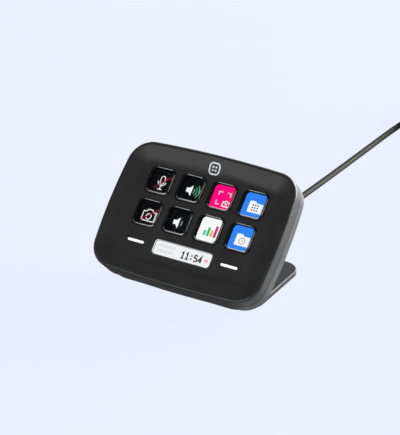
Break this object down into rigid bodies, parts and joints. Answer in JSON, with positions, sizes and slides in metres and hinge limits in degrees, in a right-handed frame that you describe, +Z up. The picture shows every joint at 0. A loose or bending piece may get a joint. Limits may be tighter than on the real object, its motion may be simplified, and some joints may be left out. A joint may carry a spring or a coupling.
{
  "type": "macro keypad",
  "caption": "Desk macro keypad: clear sprung keys over one colour display, an information bar and touch bars in a slim tilted case on a fixed foot, with a captive USB lead.",
  "frame": {"origin": "on the desk, under the middle of the keypad's own box, without its lead", "axes": "+X to the user's right, the face looks towards -Y, +Z up"},
  "size_m": [0.1385, 0.3294, 0.0645],
  "materials": {
    "case_plastic": "fine matt grain, charcoal",
    "stand_plastic": "fine matt grain, dark grey",
    "clear_key": "clear, polished",
    "clear_window": "clear, polished",
    "light_bar": "milky white, satin",
    "silicone": "soft grey silicone",
    "film": "printed film",
    "display_glass": "black glass",
    "guide_acrylic": "milky acrylic",
    "sheet_metal": "pressed sheet",
    "circuit_board": "green solder resist",
    "chip_package": "moulded black",
    "lamp": "clear resin on white",
    "ribbon_film": "amber film",
    "wire": "insulated wires",
    "screw_steel": "blackened steel",
    "pad_rubber": "matt rubber",
    "lead_jacket": "soft dark grey jacket",
    "tie_strap": "black strap",
    "plug_grip": "matt black overmould",
    "plug_metal": "plated steel",
    "plug_core": "black insert"
  },
  "bodies": {
    "case": {"front_cover": "case_plastic", "rear_cover": "case_plastic", "stand": "stand_plastic", "bar_window": "clear_window", "touch_lens_left": "light_bar", "touch_lens_right": "light_bar", "dome_sheet": "silicone", "contact_sheet": "film", "display_panel": "display_glass", "bar_display": "display_glass", "light_guide": "guide_acrylic", "display_tray": "sheet_metal", "main_board": "circuit_board", "touch_board": "circuit_board", "board_chips": "chip_package", "board_sockets": "chip_package", "board_link": "chip_package", "touch_leds": "lamp", "display_ribbon": "ribbon_film", "lead_wires": "wire", "case_screws": "screw_steel", "board_screws": "screw_steel", "stand_screws": "screw_steel", "foot_pad": "pad_rubber", "cable_boot": "lead_jacket", "cable": "lead_jacket", "cable_coil": "lead_jacket", "cable_tail": "lead_jacket", "cable_ties": "tie_strap", "plug_body": "plug_grip", "plug_shell": "plug_metal", "plug_insert": "plug_core"},
    "key_1_1_body": {"key_1_1": "clear_key"},
    "key_1_2_body": {"key_1_2": "clear_key"},
    "key_1_3_body": {"key_1_3": "clear_key"},
    "key_1_4_body": {"key_1_4": "clear_key"},
    "key_2_1_body": {"key_2_1": "clear_key"},
    "key_2_2_body": {"key_2_2": "clear_key"},
    "key_2_3_body": {"key_2_3": "clear_key"},
    "key_2_4_body": {"key_2_4": "clear_key"}
  },
  "joints": [
    {"name": "key_1_1_press", "type": "slide", "parent": "case", "child": "key_1_1_body", "axis": [0, 0.7071, -0.7071], "range_m": [0, 0.001], "stiffness_N_per_m": 450, "springref_m": -0.0005},
    {"name": "key_1_2_press", "type": "slide", "parent": "case", "child": "key_1_2_body", "axis": [0, 0.7071, -0.7071], "range_m": [0, 0.001], "stiffness_N_per_m": 450, "springref_m": -0.0005},
    {"name": "key_1_3_press", "type": "slide", "parent": "case", "child": "key_1_3_body", "axis": [0, 0.7071, -0.7071], "range_m": [0, 0.001], "stiffness_N_per_m": 450, "springref_m": -0.0005},
    {"name": "key_1_4_press", "type": "slide", "parent": "case", "child": "key_1_4_body", "axis": [0, 0.7071, -0.7071], "range_m": [0, 0.001], "stiffness_N_per_m": 450, "springref_m": -0.0005},
    {"name": "key_2_1_press", "type": "slide", "parent": "case", "child": "key_2_1_body", "axis": [0, 0.7071, -0.7071], "range_m": [0, 0.001], "stiffness_N_per_m": 450, "springref_m": -0.0005},
    {"name": "key_2_2_press", "type": "slide", "parent": "case", "child": "key_2_2_body", "axis": [0, 0.7071, -0.7071], "range_m": [0, 0.001], "stiffness_N_per_m": 450, "springref_m": -0.0005},
    {"name": "key_2_3_press", "type": "slide", "parent": "case", "child": "key_2_3_body", "axis": [0, 0.7071, -0.7071], "range_m": [0, 0.001], "stiffness_N_per_m": 450, "springref_m": -0.0005},
    {"name": "key_2_4_press", "type": "slide", "parent": "case", "child": "key_2_4_body", "axis": [0, 0.7071, -0.7071], "range_m": [0, 0.001], "stiffness_N_per_m": 450, "springref_m": -0.0005}
  ]
}
